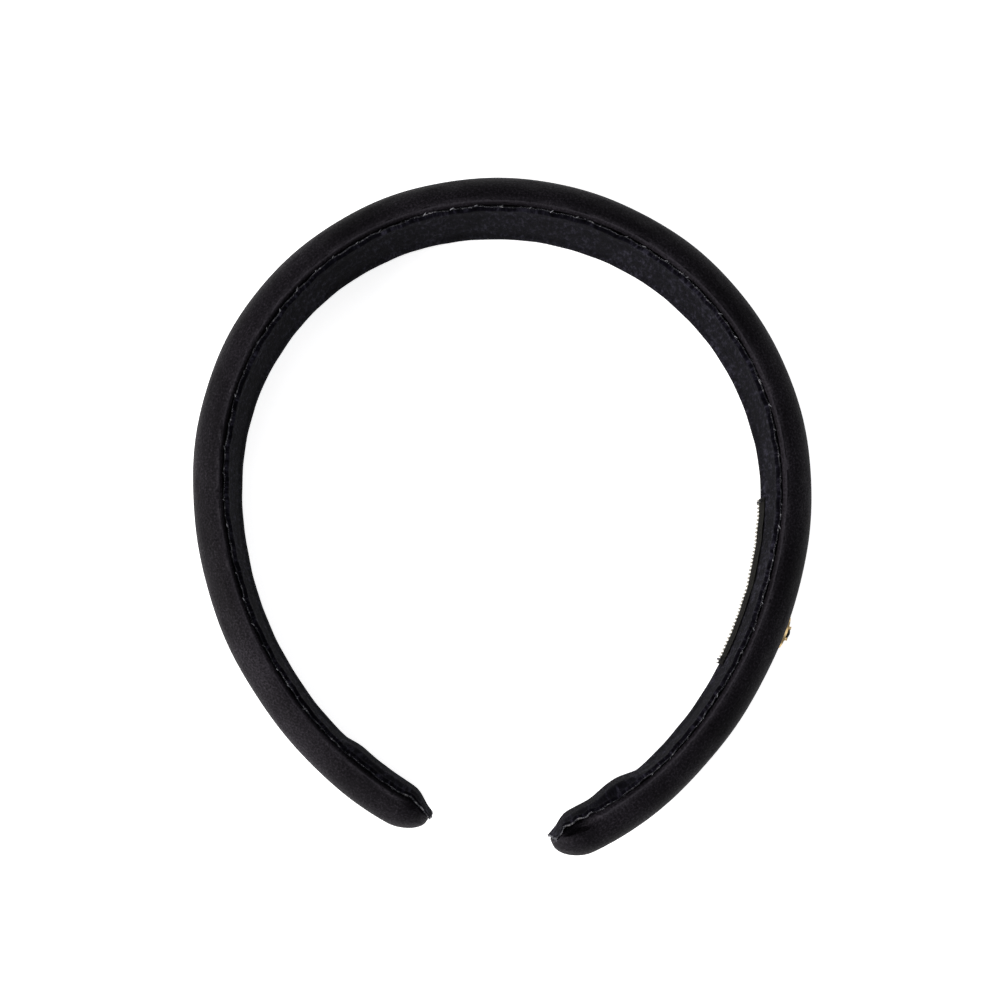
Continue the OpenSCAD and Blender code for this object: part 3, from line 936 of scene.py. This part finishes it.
def build_fray(material):
    """Short fibres that stand out of the ribbon's cut edges and raw ends."""
    rng = np.random.default_rng(SEEDS["fray"])
    first, last = LINING[0, 0], LINING[-1, 0]
    groups = []
    for side, count in ((1, FRAY_UPPER), (-1, FRAY_LOWER)):
        s = rng.uniform(first, last, count)
        low, top = lining_edges(s)
        z = top if side > 0 else low
        depth = rng.uniform(0, BACKING, count)
        n = lining_back(s, np.full(count, side)) - depth
        lean = rng.normal(0, 0.55, (count, 2))
        tall = rng.gamma(2.0, 0.11 * MM, count) + 0.08 * MM
        tall = np.minimum(tall * (0.75 + raw_edge(s)), 1.2 * MM)
        foot = np.stack([slanted(s, z, low, top), n, z - side * 0.05 * MM], -1)
        head = foot + np.stack([lean[:, 0] * tall, lean[:, 1] * tall * 0.5, side * tall], -1)
        groups.append((foot, head))
    for s, way in ((first, -1), (last, 1)):
        end = np.full(FRAY_END, s)
        low, top = lining_edges(end)
        z = rng.uniform(low, top)
        depth = rng.uniform(0, 0.8, FRAY_END) * lining_thick(s)
        n = lining_back(s, 2 * (z - low) / (top - low) - 1) - depth
        tall = rng.gamma(2.0, 0.13 * MM, FRAY_END) + 0.1 * MM
        lean = rng.normal(0, 0.5, (FRAY_END, 2))
        foot = np.stack([slanted(end, z, low, top) - way * 0.05 * MM, n, z], -1)
        head = foot + np.stack([way * tall, lean[:, 0] * tall, lean[:, 1] * tall], -1)
        groups.append((foot, head))
    foot = np.concatenate([g[0] for g in groups])
    head = np.concatenate([g[1] for g in groups])
    head[:, 2] = np.maximum(head[:, 2], 0.1 * MM)
    spread = np.array([[1, 0, 0], [-0.5, 0.87, 0], [-0.5, -0.87, 0]]) * FIBRE
    base = places(foot[:, 0], foot[:, 1], foot[:, 2])
    tips = places(head[:, 0], head[:, 1], head[:, 2])
    points = np.concatenate([base + spread[0], base + spread[1], base + spread[2], tips])
    k = np.arange(len(foot))
    m = len(foot)
    faces = np.concatenate([np.stack([k, k + m, k + 3 * m], -1),
                            np.stack([k + m, k + 2 * m, k + 3 * m], -1),
                            np.stack([k + 2 * m, k, k + 3 * m], -1),
                            np.stack([k + 2 * m, k + m, k], -1)])
    piece = mesh_object("velvet_fray", points, faces.tolist(), [material], smooth=False)
    return piece


# --- Threads --------------------------------------------------------------------------------------

def tube(line, radius, sides=6):
    """Points and quads of a tube with tapered ends along a line of points."""
    line = np.asarray(line)
    way = np.gradient(line, axis=0)
    way /= np.linalg.norm(way, axis=1)[:, None]
    side = np.cross(way, np.array([0.31, 0.17, 0.93]))
    side /= np.linalg.norm(side, axis=1)[:, None]
    other = np.cross(way, side)
    turn = np.arange(sides) * 2 * math.pi / sides
    taper = np.ones(len(line))
    taper[[0, -1]] = 0.4
    ring = side[:, None] * np.cos(turn)[None, :, None] + other[:, None] * np.sin(turn)[None, :, None]
    points = line[:, None] + ring * (radius * taper)[:, None, None]
    faces = wrapped(len(line), sides, True).tolist() + fan_ends(len(line), sides)
    return points.reshape(-1, 3), faces


def joined_tubes(name, lines, radii, material):
    """One piece of several tubes."""
    points, faces, base = [], [], 0
    for line, radius in zip(lines, radii):
        p, f = tube(line, radius)
        points.append(p)
        faces += [[base + i for i in face] for face in f]
        base += len(p)
    return mesh_object(name, np.concatenate(points), faces, [material])


def build_stitches(node, above, material):
    """Slip stitches, one where the CAD has each, drawn from the ribbon's cut edge into the satin's."""
    rng = np.random.default_rng(SEEDS["upper stitches" if above else "lower stitches"])
    s = np.sort(along(node_points(node))[0])
    groups = np.split(s, np.flatnonzero(np.diff(s) > 2 * MM) + 1)
    lines, radii = [], []
    for g in groups:
        middle = g.mean() + rng.normal(0, 0.35 * MM)
        low, top = lining_edges(middle)
        seam = lining_back(middle, 1.0)
        t = np.linspace(-1, 1, 7)
        reach = rng.uniform(0.2, 0.6) * MM
        rise = rng.uniform(0.0, 0.12) * MM
        n = seam + (0.1 + 0.25 * rng.random()) * MM * t
        edge = top if above else -low
        z = (1 - t**2) * rise + edge + 0.08 * MM + 0.15 * MM * (t + 1) / 2 - 0.25 * MM * t**4
        lines.append(places(middle + reach * t, n, z if above else -z))
        radii.append(rng.uniform(0.05, 0.1) * MM)
    piece = joined_tubes(node + "_thread", lines, radii, material)
    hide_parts(node)


# --- Label ----------------------------------------------------------------------------------------

def build_label(materials):
    """A dark woven strip folded along its lower edge, where the pale warp shows as a row of small loops."""
    box = sections("woven_label", 4)
    first, last = box[0, 0], box[-1, 0]
    low, top = box[:, 3].min(), box[:, 4].max()
    rings = np.linspace(first, last, LABEL_RINGS)
    up = np.concatenate([np.linspace(0, 0.12, 5), np.linspace(0.12, 1, 9)[1:]])
    share = np.concatenate([up[::-1], up])
    inside = np.repeat([0, 1], len(up))
    out = []
    for s in rings:
        turn = math.pi * (s - first) / LOOP_PITCH + 0.5 * math.sin((s - first) / (2.3 * MM))
        loops = abs(math.sin(turn))
        z = low + (top - low) * share - 0.2 * MM * loops * (1 - step(share, 0.0, 0.14))
        across = 2 * (z - width(s) / 2) / width(s)
        waved = waves(s, 0.04 * MM, [6 * MM, 11 * MM], "label")
        lifted = 0.07 * MM + 0.06 * MM * bump(share, 0.0, 0.5) + waved
        wall = lining_back(s, across) - lining_thick(s) + lining_shift(s, across) - lifted
        flare = (LOOP_OUT * loops**2 - 0.03 * MM) * np.clip(1 - share / 0.16, 0, 1)
        out.append(places(s, wall - flare - LABEL_T * inside, z))
    wide = len(share)
    faces = wrapped(len(rings), wide, False)
    pale = (np.maximum(share[:-1], share[1:]) < 0.13).astype(int)
    painted = np.tile(pale, len(rings) - 1)
    u = np.repeat(rings, wide)
    v = np.tile(np.where(inside, 1, -1) * share * (top - low), len(rings))
    uv = np.stack([u, v], -1)[faces.ravel()]
    piece = mesh_object("label_woven", np.array(out).reshape(-1, 3), faces.tolist(), materials, painted, uv)
    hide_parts("woven_label")
    return piece, (2 * (top - low), last - first)


# --- Badge ----------------------------------------------------------------------------------------

def badge_place():
    """Where the badge's washer presses into the sponge."""
    low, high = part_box("emblem_washer")
    centre = (low + high) / 2
    place = along(np.array([centre]))[0][0]
    inward = along(node_points("emblem_base"))[1].min()
    return {"s": place, "z": centre.z, "pocket": (high.z - low.z) / 2, "floor": inward - 0.05 * MM}


# --- Scene ----------------------------------------------------------------------------------------

def paint(node, material):
    """Gives a CAD piece that is kept its material."""
    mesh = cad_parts[node].data
    mesh.materials.clear()
    mesh.materials.append(material)


def rounded_edges(node, size):
    """A small bevel on a CAD piece, as a modifier."""
    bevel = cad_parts[node].modifiers.new("edges", "BEVEL")
    bevel.width = size
    bevel.segments = 3
    bevel.limit_method = "ANGLE"
    bevel.angle_limit = math.radians(40)


def build_camera():
    data = bpy.data.cameras.new("camera")
    data.lens = CAMERA_LENS
    data.sensor_width = CAMERA_SENSOR
    data.clip_start, data.clip_end = CAMERA_CLIP
    camera = bpy.data.objects.new("camera", data)
    camera.location = CAMERA_PLACE
    camera.rotation_euler = Euler([math.radians(a) for a in CAMERA_TURN])
    bpy.context.scene.collection.objects.link(camera)
    bpy.context.scene.camera = camera


def soft_light(name, place, size, power, colour):
    data = bpy.data.lights.new(name, "AREA")
    data.shape = "RECTANGLE"
    data.size, data.size_y = size
    data.energy = power
    data.color = colour
    light = bpy.data.objects.new(name, data)
    light.location = place
    light.rotation_euler = (-Vector(place)).to_track_quat("-Z", "Y").to_euler()
    bpy.context.scene.collection.objects.link(light)


def build_studio():
    world = bpy.data.worlds.new("studio")
    world.use_nodes = True
    ground = world.node_tree.nodes["Background"]
    ground.inputs["Color"].default_value = WORLD_COLOUR
    ground.inputs["Strength"].default_value = WORLD_STRENGTH
    bpy.context.scene.world = world
    for light in LIGHTS:
        soft_light(*light)
    half = FLOOR_SIZE / 2
    corners = [(-half, -half), (half, -half), (half, half), (-half, half)]
    mesh = bpy.data.meshes.new("table")
    mesh.from_pydata([(x, y, -FLOOR_DROP) for x, y in corners], [], [(0, 1, 2, 3)])
    mesh.materials.append(table_top())
    table = bpy.data.objects.new("table", mesh)
    bpy.context.scene.collection.objects.link(table)
    bpy.context.scene.view_settings.view_transform = "Standard"


build_camera()
build_studio()

badge = badge_place()
paint("emblem_base", gold())
paint("emblem_stone", stone())
paint("emblem_washer", steel())
rounded_edges("emblem_base", 0.12 * MM)

SETTLED = settled_crown()
cover, cover_flat, cover_area = build_cover([satin()])
build_core([plastic()])
foam = build_sponge([sponge()], badge)
lining, lining_flat, lining_area = build_lining([velvet(), backing()])
fray = build_fray(fibre("cut_pile", (0.01, 0.01, 0.014), (0.34, 0.34, 0.37)))
thread = fibre("grey_thread", (0.015, 0.015, 0.018), (0.26, 0.26, 0.28))
build_stitches("upper_edge_stitches", True, thread)
build_stitches("lower_edge_stitches", False, thread)
label, label_flat = build_label([label_dark_face(), label_weave()])
paint("label_stitches", fibre("black_thread", (0.004, 0.004, 0.005), (0.02, 0.02, 0.024)))
